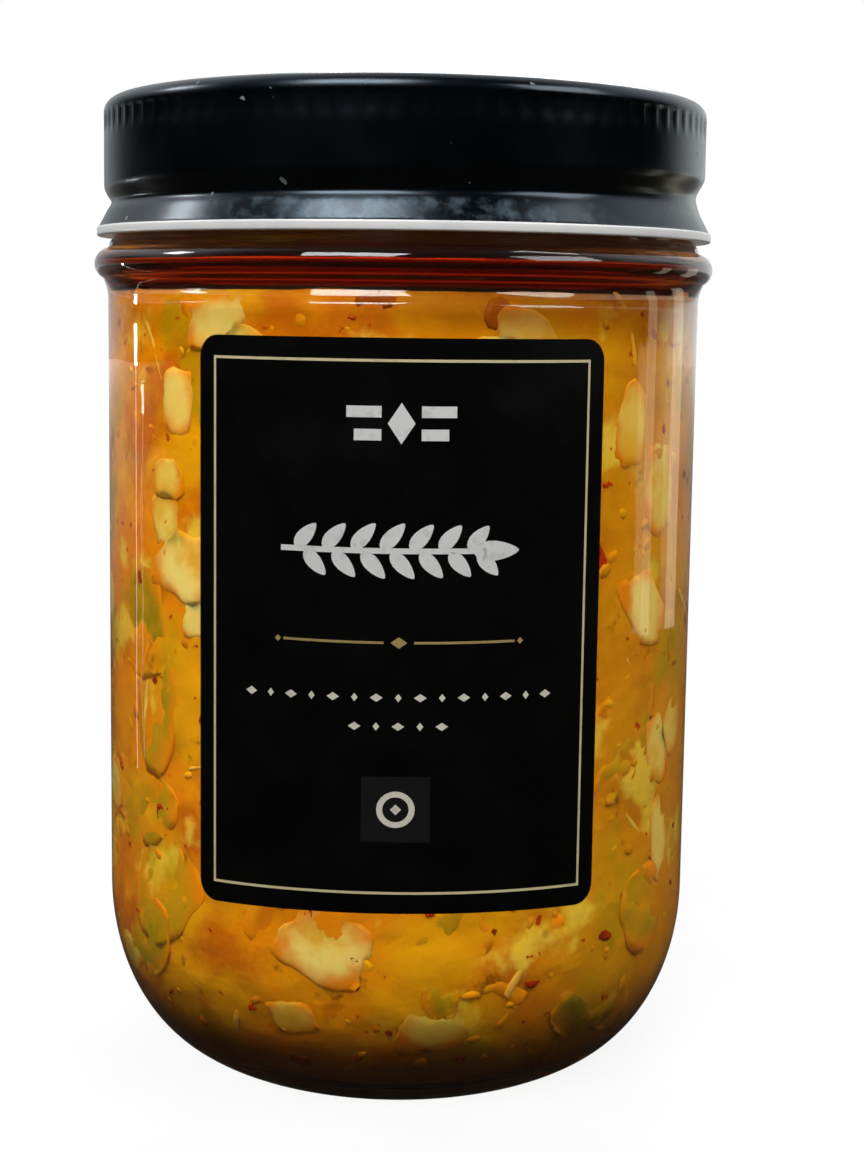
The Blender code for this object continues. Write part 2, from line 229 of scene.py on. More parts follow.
def addGrain(tree, vector, scale, detail, strength, depth):
    # Fine noise as a normal
    cloud = addNode(tree, "TexNoise", {"Vector": vector, "Scale": scale, "Detail": detail})
    return addNode(tree, "Bump", {
        "Height": cloud.outputs["Fac"], "Strength": strength, "Distance": depth}).outputs["Normal"]


def mixSurface(tree, share, first, second):
    mixed = addNode(tree, "MixShader", {0: share, 1: first.outputs[0], 2: second.outputs[0]})
    tree.links.new(mixed.outputs[0], tree.nodes["Material Output"].inputs["Surface"])


def letLampsThrough(tree, shader, tint):
    # Rays to the lamps pass the clear surface unbent, so what is inside is lit
    rays = addNode(tree, "LightPath")
    clear = addNode(tree, "BsdfTransparent", {"Color": tint})
    mixSurface(tree, rays.outputs["Is Shadow Ray"], shader, clear)


def jarPlace(tree, place):
    return addNode(tree, "Group", {"Vector": place}, node_tree=placeGroup).outputs


# Camera

cameraPlace = {
    "distance": 280.4 * mm,     # in front of the jar's axis
    "height": 114.4 * mm,
    "lens": 56.94,
    "lookDown": 0.116,          # radians
    "lookAside": -0.0019,
    "roll": 0.0125,
    "shift": (0.0243, -0.0576),
}


def addCamera():
    cameraData = bpy.data.cameras.new("photoCamera")
    cameraData.lens = cameraPlace["lens"]
    cameraData.sensor_width = 36.0
    cameraData.clip_start = 0.01
    cameraData.shift_x, cameraData.shift_y = cameraPlace["shift"]
    camera = linkObject("photoCamera", cameraData)
    camera.matrix_world = (
        Matrix.Translation((0.0, -cameraPlace["distance"], cameraPlace["height"]))
        @ Matrix.Rotation(cameraPlace["lookAside"], 4, "Z")
        @ Matrix.Rotation(math.radians(90.0) - cameraPlace["lookDown"], 4, "X")
        @ Matrix.Rotation(cameraPlace["roll"], 4, "Z"))
    bpy.context.scene.camera = camera


# Light

studio = {
    "front": (0.004, 0.005, 0.006),   # level with the jar, on the camera's side
    "back": (0.50, 0.54, 0.56),       # level with the jar, right behind it
    "backRight": (0.95, 1.0, 1.0),
    "highFront": (0.03, 0.04, 0.05),
    "highBack": (0.85, 0.88, 0.92),
    "below": (0.02, 0.02, 0.02),
    "white": (1.0, 1.0, 1.0),
    "warm": (1.0, 0.93, 0.72),
    # Where one part turns into the next, along a direction of length 1
    "backEdge": (0.50, 0.95),
    "rightEdge": (0.0, 0.5),
    "rightBackEdge": (0.30, 0.75),
    "highBackEdge": (-0.25, 0.35),
    "highEdge": (0.18, 0.55),
    "belowEdge": (0.02, 0.12),
}


def addWorld():
    # White for the camera; what the jar mirrors is dark in front and bright high up behind
    world = bpy.data.worlds.new("studio")
    bpy.context.scene.world = world
    world.use_nodes = True
    tree = world.node_tree
    place = addNode(tree, "TexCoord").outputs["Generated"]
    right, back, up = addNode(tree, "SeparateXYZ", {"Vector": place}).outputs
    level = mixColours(tree, addRamp(tree, back, *studio["backEdge"]), studio["front"],
                       studio["back"])
    share = mathNode(tree, "MULTIPLY", addRamp(tree, right, *studio["rightEdge"]),
                     addRamp(tree, back, *studio["rightBackEdge"]))
    level = mixColours(tree, share, level, studio["backRight"])
    high = mixColours(tree, addRamp(tree, back, *studio["highBackEdge"]), studio["highFront"],
                      studio["highBack"])
    colour = mixColours(tree, addRamp(tree, up, *studio["highEdge"]), level, high)
    low = addRamp(tree, mathNode(tree, "MULTIPLY", up, -1.0), *studio["belowEdge"])
    colour = mixColours(tree, low, colour, studio["below"])
    rays = addNode(tree, "LightPath")
    colour = mixColours(tree, rays.outputs["Is Camera Ray"], colour, studio["white"])
    tree.links.new(colour, tree.nodes["Background"].inputs["Color"])


# Name, azimuth from the camera's side (positive to the right), height, distance, width and height
# of the lamp, power, the height on the jar's axis that it aims at, and colour
lamps = [
    ("keyBox", -22, 0.60, 0.46, (0.36, 0.26), 3.6, 0.06, "white"),
    ("leftBox", -100, 0.45, 0.50, (0.10, 0.10), 0.5, 0.06, "white"),
    ("rightBox", 62, 0.45, 0.50, (0.30, 0.24), 1.25, 0.06, "white"),
    ("backBox", 172, 0.50, 0.52, (0.30, 0.24), 1.3, 0.06, "white"),
    ("leftStrip", -111, 0.045, 0.20, (0.0016, 0.12), 0.0020, 0.045, "white"),
    ("leftBlob", -111, 0.103, 0.20, (0.007, 0.010), 0.008, 0.103, "white"),
    ("rightWindow", 103, 0.070, 0.34, (0.034, 0.12), 0.014, 0.07, "warm"),
    ("rightWindow", 124, 0.070, 0.34, (0.060, 0.12), 0.020, 0.07, "warm"),
]


def addLights():
    for name, azimuth, height, distance, size, power, aim, colour in lamps:
        lampData = bpy.data.lights.new(name, "AREA")
        lampData.shape = "RECTANGLE"
        lampData.size, lampData.size_y = size
        lampData.energy = power
        lampData.color = studio[colour]
        lamp = linkObject(name, lampData)
        around = math.radians(azimuth)
        place = Vector((distance * math.sin(around), -distance * math.cos(around), height))
        facing = (Vector((0.0, 0.0, aim)) - place).to_track_quat("-Z", "Y")
        lamp.matrix_world = Matrix.Translation(place) @ facing.to_matrix().to_4x4()
        lamp.visible_camera = False


backdrop = {
    "radius": 3.0,
    "drop": 0.2 * mm,           # below the jar's foot
    "pale": (0.90, 0.90, 0.90),
    "cloud": (0.86, 0.86, 0.865),
    "mirrored": (0.025, 0.020, 0.015),
    "glow": (0.86, 0.14, 0.04, 0.16),   # share at the jar, what is added, and from where to where
    # From where to where behind the jar, and share; the second meets the mirrored horizon
    "mirroredGlow": ((0.20, 0.60, 0.16), (0.60, 2.60, 0.60)),
}


def addFloor():
    # A pale floor that meets the white backdrop; what the jar mirrors of it is dark near the jar
    finish, tree, shader, place = newFinish("paleFloor", {"Roughness": 0.8,
                                                          "Specular IOR Level": 0.05})
    paper, _ = addSpots(tree, place, backdrop["pale"], backdrop["cloud"], 45.0, 0.4, 0.6)
    seen = addNode(tree, "LightPath").outputs["Is Camera Ray"]
    setInputs(tree, shader, {"Base Color": mixColours(tree, seen, backdrop["mirrored"], paper)})
    glow = addNode(tree, "Emission", {"Color": studio["white"]})
    away = addNode(tree, "VectorMath", {0: place}, operation="LENGTH").outputs["Value"]
    least, more, near, far = backdrop["glow"]
    share = mathNode(tree, "ADD", addRamp(tree, away, near, far, more), least)
    share = mathNode(tree, "MULTIPLY", seen, share)
    behind = addNode(tree, "SeparateXYZ", {"Vector": place}).outputs["Y"]
    behind = mathNode(tree, "ADD", *[addRamp(tree, behind, *ramp)
                                     for ramp in backdrop["mirroredGlow"]])
    unseen = mathNode(tree, "MULTIPLY", mathNode(tree, "SUBTRACT", 1.0, seen), behind)
    share = mathNode(tree, "ADD", share, unseen)
    mixSurface(tree, share, shader, glow)
    bm = bmesh.new()
    bmesh.ops.create_circle(bm, cap_ends=True, segments=64, radius=backdrop["radius"])
    bmesh.ops.translate(bm, vec=(0, 0, -backdrop["drop"]), verts=bm.verts)
    floor = finishMesh("floor", bm, [finish])


# Glass jar

jar = {
    "radius": 44.5 * mm,
    "wall": 2.8 * mm,
    "foot": 28.1 * mm,
    "footWidth": 2.4 * mm,
    "pushUp": 2.2 * mm,
    "base": 2.6 * mm,
    "heel": 25.0 * mm,          # height of the rounded heel
    "shoulder": 114.0 * mm,
    "beadHeight": 118.8 * mm,
    "beadRadius": 46.49 * mm,
    "beadRound": 2.4 * mm,
    "neck": 44.3 * mm,
    "finish": 41.3 * mm,
    "mouth": 38.6 * mm,
    "top": 141.6 * mm,
    "steps": 160,
    "tint": (0.955, 0.985, 0.965),
    "lampTint": (0.96, 0.98, 0.965),
}
insideRadius = jar["radius"] - jar["wall"]
insideFloor = jar["pushUp"] + jar["base"]
insideHeel = jar["heel"] + 1.0 * mm
insideFoot = jar["foot"] - 1.4 * mm
insideShoulder = jar["shoulder"] - 1.0 * mm
insideNeck = jar["beadHeight"] + 2.0 * mm


def insideAt(height):
    # Inside of the glass between its floor and its neck
    if height >= insideShoulder:
        share = min(1.0, (height - insideShoulder) / (insideNeck - insideShoulder))
        return insideRadius + (jar["mouth"] - insideRadius) * share
    if height >= insideHeel:
        return insideRadius
    drop = min(1.0, (insideHeel - height) / (insideHeel - insideFloor))
    return insideFoot + (insideRadius - insideFoot) * math.sqrt(1 - drop * drop)


def insidePoints(grow):
    # From the middle of the inside floor up to the neck, grown into the wall by a little
    low = insideFloor - grow
    points = [(0.0, low + 1.2 * mm), (0.5 * insideFoot, low + 0.35 * mm)]
    for radius, height in heelPoints(insideFoot, insideFloor, insideRadius, insideHeel, 24):
        rise = (height - insideFloor) / (insideHeel - insideFloor)
        points.append((radius + grow * math.sqrt(rise), height - grow * (1 - rise)))
    points.append((insideRadius + grow, 0.5 * (insideHeel + insideShoulder)))
    for share in (0.0, 0.08, 0.25, 0.5, 0.75, 0.92, 1.0):
        height = insideShoulder + (insideNeck - insideShoulder) * share
        draw = (jar["mouth"] - insideRadius) * easeStep(share, 0.0, 1.0)
        points.append((insideRadius + draw + grow, height))
    return points


def makeGlass():
    finish, tree, shader, place = newFinish("clearGlass", {
        "Base Color": jar["tint"], "Roughness": 0.015, "IOR": 1.5, "Transmission Weight": 1.0})
    setInputs(tree, shader, {"Normal": addGrain(tree, place, 38.0, 1.0, 0.16, 1.0 * mm)})
    letLampsThrough(tree, shader, jar["lampTint"])
    return finish


def buildGlass():
    foot, rise, side, shoulder = jar["foot"], jar["pushUp"], jar["radius"], jar["shoulder"]
    neck, bead = jar["neck"], jar["beadHeight"]
    points = [(0.0, rise), (10 * mm, rise * 0.9), (18 * mm, rise * 0.62), (23 * mm, rise * 0.22)]
    points += [(foot - jar["footWidth"], 0.05 * mm), (foot - 0.6 * jar["footWidth"], 0.0)]
    points += heelPoints(foot, 0.0, side, jar["heel"], 34)
    points += [(side, 0.4 * (jar["heel"] + shoulder)), (side, shoulder - 2.0 * mm)]
    points += [(side, shoulder), (side + 0.12 * mm, shoulder + 1.0 * mm)]
    points += [(side + 0.40 * mm, shoulder + 1.9 * mm)]
    points += arcPoints((jar["beadRadius"] - jar["beadRound"], bead), jar["beadRound"], -62, 70, 16)
    points += [(neck + 0.05 * mm, bead + 2.55 * mm), (neck, bead + 3.1 * mm)]
    points += [(neck - 0.4 * mm, bead + 3.7 * mm), (jar["finish"], bead + 6.0 * mm)]
    lipRound = 0.5 * (jar["finish"] - jar["mouth"])
    points += arcPoints((jar["finish"] - lipRound, jar["top"] - lipRound), lipRound, 0, 180, 9)
    points += insidePoints(0.0)[::-1]
    bm = spinProfile(points, jar["steps"])
    glass = finishPiece("jarGlass", bm, [makeGlass()], 60)
    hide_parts("jar_glass")


# Screw lid

lid = {
    "top": 143.0 * mm,
    "radius": 45.0 * mm,
    "panel": 38.8 * mm,
    "rimRound": 2.2 * mm,
    "knurlTop": 140.8 * mm,
    "knurlBottom": 136.7 * mm,
    "knurls": 96,
    "knurlDepth": 0.17 * mm,
    "curlHeight": 123.6 * mm,
    "curlRadius": 46.1 * mm,
    "grooveHeight": 128.1 * mm,  # at the front; it climbs to the right
    "grooveDepth": 1.25 * mm,
    "grooveWidth": 6.6 * mm,
    "threadPitch": 5.08 * mm,
    "flareTop": 127.6 * mm,     # the skirt below the groove is a plain cone
    "flareTopRadius": 44.05 * mm,
    "flareFoot": 124.4 * mm,
    "flareFootRadius": 45.75 * mm,
    "bore": 43.0 * mm,
    "innerTop": 141.5 * mm,
    "stepsEach": 5,             # round one knurl
    "enamel": ((0.0006, 0.0008, 0.0011), (0.0014, 0.0019, 0.0026)),
    "dust": (0.30, 0.31, 0.32),
    "skirtReflection": (0.22, 0.31, 0.38),    # painted bluish reflection of the light above, in patches on the front of the skirt
    "white": ((0.97, 0.97, 0.95), (0.88, 0.89, 0.88)),
}


def grooveDepthAt(x, y, z):
    # Full depth for most of a turn, fading out at the back
    turn = math.degrees(math.atan2(y, x)) % 360.0
    depth = 0.0
    for angle in (turn, turn + 360.0):
        fade = easeStep(min(angle - 80.0, 440.0 - angle), 0.0, 45.0)
        middle = lid["grooveHeight"] + lid["threadPitch"] * (angle - 270.0) / 360.0
        away = (z - middle) / lid["grooveWidth"]
        if abs(away) < 0.5:
            depth = max(depth, lid["grooveDepth"] * fade * math.cos(math.pi * away) ** 2)
    return depth


def lidPoints():
    top, radius, panel = lid["top"], lid["radius"], lid["panel"]
    points = [(0.0, top - 0.5 * mm), (panel - 0.8 * mm, top - 0.5 * mm), (panel, top - 0.4 * mm)]
    points += [(panel + 0.7 * mm, top - 0.1 * mm), (panel + 1.4 * mm, top)]
    rim = lid["rimRound"]
    points += arcPoints((radius - rim, top - rim), rim, 90, 8, 9)
    for start, end, count in ((lid["knurlTop"], lid["knurlBottom"], 13),
                              (lid["knurlBottom"] - 0.3 * mm, lid["flareFoot"] + 0.15 * mm, 34)):
        for index in range(count):
            points.append((radius, start + (end - start) * index / (count - 1)))
    curl, bend, edge = lid["curlRadius"], 0.3 * mm, lid["curlHeight"]
    points += [(lid["flareFootRadius"], lid["flareFoot"])]
    points += arcPoints((curl - bend, edge + 0.35 * mm), bend, 80, 0, 5)
    points += arcPoints((curl - bend, edge - 0.45 * mm), bend, 0, -90, 5)
    bore, inner = lid["bore"], lid["innerTop"]
    points += [(bore + 0.9 * mm, edge - 0.6 * mm), (bore + 0.4 * mm, edge + 0.2 * mm)]
    points += [(bore, edge + 1.6 * mm), (bore, inner - 0.7 * mm), (bore - 1.2 * mm, inner)]
    return points + [(0.0, inner)]


def makeEnamel():
    # Satin black baked enamel with fine orange peel, faint handling marks in its roughness, a few
    # dust specks and a painted bluish reflection in patches on the front of the skirt
    finish, tree, shader, place = newFinish("blackEnamel", {"IOR": 1.5,
                                                            "Specular Tint": (0.66, 0.84, 1.0)})
    base, _ = addSpots(tree, place, *lid["enamel"], 70.0, 0.4, 0.65)
    dusty, dust = addSpots(tree, place, base, lid["dust"], 420.0, 0.775, 0.80, 0.8, 1.0)
    angle, height = jarPlace(tree, place)
    # Painted reflection: a mottled bluish patch on the front of the skirt below the groove, where
    # the cone faces the light above
    skirt = mathNode(tree, "SUBTRACT", 1.0, addRamp(tree, height, 126.9, 127.5))
    paintedReflection = mathNode(tree, "MULTIPLY", skirt, addRamp(tree, angle, -48.0, -18.0))
    paintedReflection = mathNode(tree, "SUBTRACT", paintedReflection, addRamp(tree, angle, 14.0, 48.0))
    _, reflectionMottle = addSpots(tree, place, base, base, 420.0, 0.40, 0.74, 1.0, 7.0)
    paintedReflection = mathNode(tree, "MULTIPLY", paintedReflection, reflectionMottle, True)
    _, smudge = addSpots(tree, place, base, base, 55.0, 0.35, 0.7, 0.10, 4.0, 0.03)
    setInputs(tree, shader, {
        "Base Color": mixColours(tree, mathNode(tree, "MULTIPLY", paintedReflection, 0.35), dusty,
                                 lid["skirtReflection"]),
        "Roughness": mathNode(tree, "ADD", mathNode(tree, "ADD", smudge, 0.19), dust),
        "Normal": addGrain(tree, place, 900.0, 1.0, 0.12, 0.05 * mm)})
    return finish


def buildLid():
    bm = spinProfile(lidPoints(), lid["knurls"] * lid["stepsEach"])
    wall, low, high = lid["radius"], lid["knurlBottom"], lid["knurlTop"]
    foot, footRadius = lid["flareFoot"], lid["flareFootRadius"]
    for vert in bm.verts:
        x, y, z = vert.co
        radius = math.hypot(x, y)
        if radius < wall - 0.5 * mm:
            continue
        press = 0.0
        if foot + 0.1 * mm < z < low:
            press = grooveDepthAt(x, y, z)
            fall = (z - foot) / (lid["flareTop"] - foot)
            cone = footRadius + (lid["flareTopRadius"] - footRadius) * fall
            press += (wall - cone - press) * (1 - easeStep(fall, 0.75, 1.35))
        elif low <= z <= high + 1e-7:
            # Narrow ribs stay proud between wide flutes, rounded off at top and bottom
            turn = math.atan2(y, x) * lid["knurls"] / (2 * math.pi)
            away = abs(turn - round(turn)) * 2
            press = lid["knurlDepth"] * easeStep(away, 0.08, 0.50)
            press *= easeStep(z, low, low + 2.6 * mm)
            press *= 1 - easeStep(z, high - 0.5 * mm, high)
        vert.co.x *= 1 - press / radius
        vert.co.y *= 1 - press / radius
    for face in bm.faces:
        middle = face.calc_center_median()
        onCurl = middle.z < lid["curlHeight"] + 0.62 * mm
        inside = (math.hypot(middle.x, middle.y) < lid["bore"] + 0.3 * mm
                  and middle.z < lid["innerTop"] + 0.5 * mm)
        face.material_index = 1 if onCurl or inside else 0
    white = makeCoat("whiteEnamel", {"Roughness": 0.3}, *lid["white"], 160.0, 0.45, 0.75)
    piece = finishPiece("screwLid", bm, [makeEnamel(), white], 50)
    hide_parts("screw_lid")


# Label and its print

label = {
    "halfAngle": 37.3,
    "bottom": 31.3 * mm,
    "top": 109.2 * mm,
    "bow": 1.2 * mm,            # the lower edge rises a little in the middle
    "corner": 3.0 * mm,
    "gap": 0.05 * mm,
    "thickness": 0.14 * mm,
    "frameInset": (2.45 * mm, 2.75 * mm),   # sides, top and bottom
    "frameLine": 0.36 * mm,
    "printRise": 0.012 * mm,
    "strips": 64,               # across the label, so that it bends round the jar
    "film": ((0.0006, 0.0006, 0.0005), (0.0016, 0.0016, 0.0014)),
    "frameGold": (0.82, 0.70, 0.40),
}
labelWidth = 2 * math.radians(label["halfAngle"]) * jar["radius"]
labelHeight = label["top"] - label["bottom"]


def wrapOnJar(bm, lift):
    # A flat drawing (x across, y up, z outwards) to its place on the wall
    for vert in bm.verts:
        angle = vert.co.x / jar["radius"]
        across = 2 * vert.co.x / labelWidth
        low = max(0.0, -2 * vert.co.y / labelHeight)
        rise = 0.5 * (label["top"] + label["bottom"]) + vert.co.y
        rise += label["bow"] * (1 - across * across) * low
        radius = jar["radius"] + lift + vert.co.z
        vert.co = (radius * math.sin(angle), -radius * math.cos(angle), rise)


def layOnJar(bm, strips, thickness, lift):
    # Cut so that it can bend, given its thickness outwards, and wrapped
    for index in range(1, strips):
        cut = labelWidth * (index / strips - 0.5)
        bmesh.ops.bisect_plane(bm, geom=bm.verts[:] + bm.edges[:] + bm.faces[:],
                               plane_co=(cut, 0, 0), plane_no=(1, 0, 0))
    raised = bmesh.ops.extrude_face_region(bm, geom=bm.faces[:], use_keep_orig=True)
    for item in raised["geom"]:
        if isinstance(item, bmesh.types.BMVert):
            item.co.z += thickness
    wrapOnJar(bm, lift)


def placeFlat(bm, verts, centre, turn):
    bmesh.ops.rotate(bm, cent=(0, 0, 0), matrix=Matrix.Rotation(math.radians(turn), 3, "Z"),
                     verts=verts)
    bmesh.ops.translate(bm, vec=(*centre, 0.0), verts=verts)


def flatPlate(bm, width, height, corner, centre=(0.0, 0.0)):
    made = bmesh.ops.create_grid(bm, x_segments=1, y_segments=1, size=0.5)
    bmesh.ops.scale(bm, vec=(width, height, 1.0), verts=made["verts"])
    placeFlat(bm, made["verts"], centre, 0.0)
    if corner > 0:
        bmesh.ops.bevel(bm, geom=made["verts"], offset=corner, offset_type="OFFSET", segments=7,
                        profile=0.5, affect="VERTICES", material=-1)


def keepRim(bm, width):
    # Only a rim of this width is left of the drawing
    middle = bm.faces[:]
    bmesh.ops.inset_region(bm, faces=middle, thickness=width, use_even_offset=True,
                           use_boundary=True)
    bmesh.ops.delete(bm, geom=middle, context="FACES")


def makeLabelFilm():
    finish, tree, shader, place = newFinish("labelFilm", {"IOR": 1.42, "Specular IOR Level": 0.3})
    base, _ = addSpots(tree, place, *label["film"], 120.0, 0.45, 0.75)
    _, rub = addSpots(tree, place, base, base, 90.0, 0.4, 0.7, 0.10, 4.0)
    setInputs(tree, shader, {"Base Color": base, "Roughness": mathNode(tree, "ADD", rub, 0.36),
                             "Normal": addGrain(tree, place, 2600.0, 2.0, 0.10, 0.02 * mm)})
    return finish


def makePrint(name, colour, roughness, metallic=0.0):
    # Ink or foil with slight wear
    worn = tuple(0.82 * value for value in colour)
    return makeCoat(name, {"Roughness": roughness, "Metallic": metallic}, colour, worn, 700.0, 0.5,
                    0.7, 0.8)


def buildLabel():
    bm = bmesh.new()
    flatPlate(bm, labelWidth, labelHeight, label["corner"])
    layOnJar(bm, label["strips"], label["thickness"], label["gap"])
    film = finishPiece("labelFilm", bm, [makeLabelFilm()], 40)
    film.visible_shadow = False     # the kimchi below it stays evenly lit
    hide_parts("front_label")


def finishPrint(name, bm, finish, strips):
    layOnJar(bm, strips, label["printRise"], label["gap"] + label["thickness"])
    finishPiece(name, bm, [finish], 40)


def buildFrameLine():
    bm = bmesh.new()
    side, end = label["frameInset"]
    flatPlate(bm, labelWidth - 2 * side, labelHeight - 2 * end, 0.0)
    keepRim(bm, label["frameLine"])
    finishPrint("labelFrameLine", bm, makePrint("paleGold", label["frameGold"], 0.4),
                label["strips"])


# The words' places hold plain ornaments: millimetres from the label's middle
ornament = {
    "rowHeight": 27.9,          # small bars with a diamond, near the top
    "bars": ((4.6, 4.9, 1.5), (3.6, 4.4, -1.5)),    # width, distance to the side, and up
    "barThickness": 1.5,
    "diamond": (3.6, 5.4),
    "sprigHeight": 11.2,
    "sprigHalf": 16.0,
    "sprigPairs": 7,
    "stalk": 0.75,
    "leaf": (4.7, 1.15, 48),    # length, width and lean of a leaf
    "lastLeaf": (6.4, 1.5),
    "ruleHeight": -1.0,
    "ruleHalf": 15.6,
    "ruleLine": 0.34,
    "ruleDiamonds": ((0.9, 0.9), (2.2, 1.6)),   # at the ends, and in the middle
    "dotRows": ((-8.6, 15, 2.9), (-12.6, 5, 2.9)),   # height, how many, spacing
    "dots": (1.7, 0.9, 1.15),   # long and short in turn, and their height
    "squareHeight": -24.2,
    "squareSide": 9.2,
    "squareShift": -0.2,
    "ringRadius": 2.55,
    "ringLine": 0.8,
    "ringDiamond": 1.5,
    "strips": 96,
    # Colour, roughness and metal
    "white": ((0.86, 0.86, 0.84), 0.5, 0.0),
    "cream": ((0.84, 0.80, 0.66), 0.5, 0.0),
    "gold": ((0.56, 0.40, 0.15), 0.42, 0.2),
    "grey": ((0.006, 0.006, 0.006), 0.45, 0.0),
}


def flatLozenge(bm, width, height, centre):
    made = bmesh.ops.create_circle(bm, cap_ends=True, segments=4, radius=0.5)
    bmesh.ops.scale(bm, vec=(width, height, 1.0), verts=made["verts"])
    placeFlat(bm, made["verts"], centre, 0.0)


def flatLeaf(bm, length, width, foot, turn):
    # A pointed leaf with its foot on the stalk
    made = bmesh.ops.create_circle(bm, cap_ends=True, segments=18, radius=0.5)
    for vert in made["verts"]:
        along, across = vert.co.x + 0.5, vert.co.y
        vert.co.x = length * along
        vert.co.y = width * math.copysign(abs(across * 2) ** 1.25, across) * (1.12 - 0.5 * along)
    placeFlat(bm, made["verts"], foot, turn)


def finishOrnament(name, bm, finish):
    bmesh.ops.scale(bm, vec=(mm, mm, 1.0), verts=bm.verts)
    finishPrint(name, bm, finish, ornament["strips"])


def buildOrnaments():
    white, cream, gold, grey = [makePrint(name + "Ink", *ornament[name])
                                for name in ("white", "cream", "gold", "grey")]
    # Two pairs of short bars either side of a diamond
    bm = bmesh.new()
    height = ornament["rowHeight"]
    for side in (-1, 1):
        for width, across, up in ornament["bars"]:
            flatPlate(bm, width, ornament["barThickness"], 0.0, (side * across, height + up))
    flatLozenge(bm, *ornament["diamond"], (0.0, height))
    finishOrnament("labelBars", bm, white)
    # A lying sprig of leaves
    bm = bmesh.new()
    half, height, pairs = ornament["sprigHalf"], ornament["sprigHeight"], ornament["sprigPairs"]
    flatPlate(bm, 2 * half - 4.0, ornament["stalk"], 0.0, (-2.0, height))
    length, width, lean = ornament["leaf"]
    for index in range(pairs):
        along = -half + 2.0 + (2 * half - 9.0) * index / (pairs - 1)
        size = length - 0.16 * abs(index - 2.5)
        flatLeaf(bm, size, width, (along, height + 0.2), lean)
        flatLeaf(bm, size, width, (along + 1.3, height - 0.2), -lean)
    length, width = ornament["lastLeaf"]
    flatLeaf(bm, length, width, (half - length, height), 0)
    finishOrnament("labelSprig", bm, white)
    # A straight rule with small diamonds
    bm = bmesh.new()
    half, height = ornament["ruleHalf"], ornament["ruleHeight"]
    endDiamond, middleDiamond = ornament["ruleDiamonds"]
    for side in (-1, 1):
        flatPlate(bm, half - 2.0, ornament["ruleLine"], 0.0, (side * 0.5 * (half + 2.0), height))
        flatLozenge(bm, *endDiamond, (side * (half + 0.8), height))
    flatLozenge(bm, *middleDiamond, (0.0, height))
    finishOrnament("labelRule", bm, gold)
    # Two rows of small lozenges
    bm = bmesh.new()
    for height, count, spacing in ornament["dotRows"]:
        for index in range(count):
            flatLozenge(bm, ornament["dots"][index % 2], ornament["dots"][2],
                        ((index - 0.5 * (count - 1)) * spacing, height))
    finishOrnament("labelDots", bm, cream)
    # A ring on a square that is barely lighter than the label
    bm = bmesh.new()
    side, middle = ornament["squareSide"], (ornament["squareShift"], ornament["squareHeight"])
    flatPlate(bm, side, side, 0.0, middle)
    finishOrnament("labelSquare", bm, grey)
    bm = bmesh.new()
    bmesh.ops.create_circle(bm, cap_ends=True, segments=48, radius=ornament["ringRadius"])
    keepRim(bm, ornament["ringLine"])
    flatLozenge(bm, ornament["ringDiamond"], ornament["ringDiamond"], (0.0, 0.0))
    bmesh.ops.translate(bm, vec=(*middle, 2 * label["printRise"]), verts=bm.verts)
    finishOrnament("labelRing", bm, cream)


# Kimchi

kimchi = {
    "seed": 23,
    "top": 115.6 * mm,
    "floor": 6.2 * mm,
    "pasteRows": 118,
    "pasteSteps": 250,
    "pasteGap": 0.34 * mm,      # mean distance from the paste to the glass
    "pasteRelief": 0.40 * mm,
    "topRelief": 1.4 * mm,
    "orange": (0.74, 0.225, 0.001),
    "right": (0.56, 0.245, 0.003),
    # Painted shade: the colour mixed in along the top under the lid, and the one towards the foot
    "topShade": (0.25, 0.062, 0.001),
    "footShade": (0.14, 0.030, 0.001),
    "brineTop": 131.0 * mm,
    "brineInWall": 0.15 * mm,
    "brineFilm": (1.0, 0.99, 0.97),
    "brineDepth": (0.985, 0.90, 0.02),
    "brineDensity": 520.0,
}
# Spots on the paste: colour, scale, low, high, amount, detail and shift
pasteLayers = [
    ((0.74, 0.33, 0.002), 60.0, 0.40, 0.62, 0.9, 4.0),
    ((0.52, 0.115, 0.001), 75.0, 0.48, 0.66, 0.9, 5.0, 0.5),
]
pasteTopLayers = [
    ((0.82, 0.58, 0.09), 70.0, 0.57, 0.67, 0.75, 6.0, 0.9),
    ((0.42, 0.26, 0.001), 52.0, 0.54, 0.66, 0.8, 5.0, 2.4),
    ((0.16, 0.035, 0.001), 160.0, 0.62, 0.72, 0.8, 5.0, 3.3),
    ((0.40, 0.02, 0.001), 420.0, 0.69, 0.74, 0.9, 2.0, 1.7),
]
